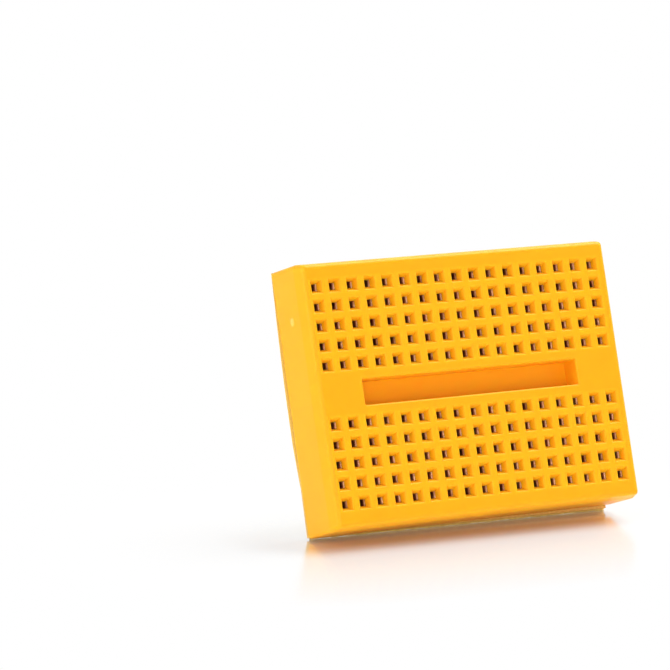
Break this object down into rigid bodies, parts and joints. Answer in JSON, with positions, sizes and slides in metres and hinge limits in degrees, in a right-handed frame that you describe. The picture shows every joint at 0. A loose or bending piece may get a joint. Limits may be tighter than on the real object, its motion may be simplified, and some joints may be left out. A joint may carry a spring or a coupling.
{
  "type": "solderless breadboard",
  "caption": "Small solderless prototyping board: bevelled moulded block with two banks of square funnel holes over spring contact clips, a centre channel and a peel-off adhesive back.",
  "frame": {"origin": "middle of the housing's outline, on the release liner's outer face, where the board lies on a surface", "axes": "+X along the seventeen columns, +Y across the two banks towards the upper one, +Z out of the hole face"},
  "size_m": [0.0452, 0.0353, 0.0093],
  "materials": {
    "yellow_abs": "semi-gloss moulded ABS, warm yellow",
    "contact_metal": "nickel-plated spring bronze",
    "pad_foam": "soft closed-cell adhesive foam, off-white",
    "liner_paper": "glazed pale yellow release paper"
  },
  "bodies": {
    "board": {"housing": "yellow_abs", "contact_clip_lower_01": "contact_metal", "contact_clip_lower_02": "contact_metal", "contact_clip_lower_03": "contact_metal", "contact_clip_lower_04": "contact_metal", "contact_clip_lower_05": "contact_metal", "contact_clip_lower_06": "contact_metal", "contact_clip_lower_07": "contact_metal", "contact_clip_lower_08": "contact_metal", "contact_clip_lower_09": "contact_metal", "contact_clip_lower_10": "contact_metal", "contact_clip_lower_11": "contact_metal", "contact_clip_lower_12": "contact_metal", "contact_clip_lower_13": "contact_metal", "contact_clip_lower_14": "contact_metal", "contact_clip_lower_15": "contact_metal", "contact_clip_lower_16": "contact_metal", "contact_clip_lower_17": "contact_metal", "contact_clip_upper_01": "contact_metal", "contact_clip_upper_02": "contact_metal", "contact_clip_upper_03": "contact_metal", "contact_clip_upper_04": "contact_metal", "contact_clip_upper_05": "contact_metal", "contact_clip_upper_06": "contact_metal", "contact_clip_upper_07": "contact_metal", "contact_clip_upper_08": "contact_metal", "contact_clip_upper_09": "contact_metal", "contact_clip_upper_10": "contact_metal", "contact_clip_upper_11": "contact_metal", "contact_clip_upper_12": "contact_metal", "contact_clip_upper_13": "contact_metal", "contact_clip_upper_14": "contact_metal", "contact_clip_upper_15": "contact_metal", "contact_clip_upper_16": "contact_metal", "contact_clip_upper_17": "contact_metal", "foam_tape": "pad_foam"},
    "liner": {"release_liner": "liner_paper"}
  },
  "joints": [
    {"name": "liner_peel", "type": "slide", "parent": "board", "child": "liner", "axis": [0, 0, -1], "range_m": [0, 0.02]}
  ]
}
